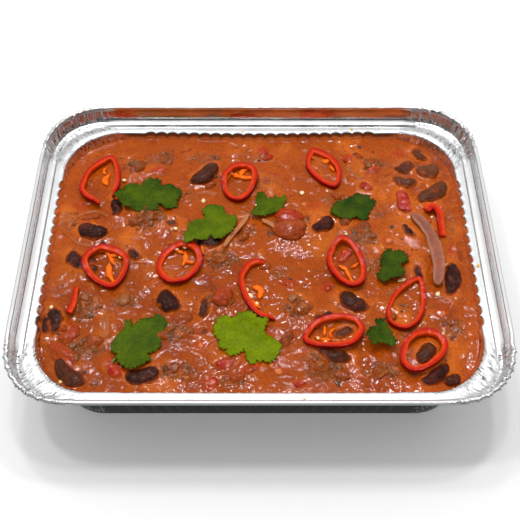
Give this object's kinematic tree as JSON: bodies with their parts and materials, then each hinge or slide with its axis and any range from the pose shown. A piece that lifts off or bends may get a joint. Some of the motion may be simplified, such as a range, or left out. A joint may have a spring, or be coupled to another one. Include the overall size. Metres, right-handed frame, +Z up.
{
  "type": "foil tray of chili con carne",
  "caption": "Rectangular ribbed foil tray with a rolled rim, filled with bean and mince chili topped with chilli rings, onion and coriander leaves.",
  "frame": {"origin": "middle of the tray's base, on the surface it stands on", "axes": "+X along the tray's long side to the right, +Y to its back, +Z up"},
  "size_m": [0.227, 0.177, 0.048],
  "materials": {
    "foil": "bright rolled foil with fine creases",
    "sauce": "wet orange-red tomato sauce with fine mince in it",
    "bean": "glossy dark purple-brown bean skin",
    "tomato": "wet cooked tomato flesh",
    "chilli": "glossy red chilli skin and wet cut flesh",
    "onion": "translucent cooked onion stained by the sauce",
    "coriander": "fresh green leaf with fine veins",
    "mince": "crumbly browned mince",
    "seed": "pale smooth chilli seed"
  },
  "bodies": {
    "root": {"tray": "foil", "chili": "sauce", "bean_01": "bean", "bean_02": "bean", "bean_03": "bean", "bean_04": "bean", "bean_05": "bean", "bean_06": "bean", "bean_07": "bean", "bean_08": "bean", "bean_09": "bean", "bean_10": "bean", "bean_11": "bean", "bean_12": "bean", "bean_13": "bean", "bean_14": "bean", "bean_15": "bean", "bean_16": "bean", "bean_17": "bean", "bean_18": "bean", "bean_19": "bean", "bean_20": "bean", "bean_21": "bean", "bean_22": "bean", "bean_23": "bean", "bean_24": "bean", "bean_25": "bean", "bean_26": "bean", "bean_27": "bean", "bean_28": "bean", "tomato_1": "tomato", "tomato_2": "tomato", "tomato_3": "tomato", "tomato_4": "tomato", "tomato_5": "tomato", "tomato_6": "tomato", "chilli_ring_01": "chilli", "chilli_ring_02": "chilli", "chilli_ring_03": "chilli", "chilli_ring_04": "chilli", "chilli_ring_05": "chilli", "chilli_ring_06": "chilli", "chilli_ring_07": "chilli", "chilli_ring_08": "chilli", "chilli_ring_09": "chilli", "chilli_ring_10": "chilli", "chilli_strip_1": "chilli", "chilli_strip_2": "chilli", "onion_strip_1": "onion", "onion_strip_2": "onion", "onion_strip_3": "onion", "coriander_leaf_1": "coriander", "coriander_leaf_2": "coriander", "coriander_leaf_3": "coriander", "coriander_leaf_4": "coriander", "coriander_leaf_5": "coriander", "coriander_leaf_6": "coriander", "coriander_leaf_7": "coriander", "coriander_leaf_8": "coriander"}
  },
  "joints": []
}
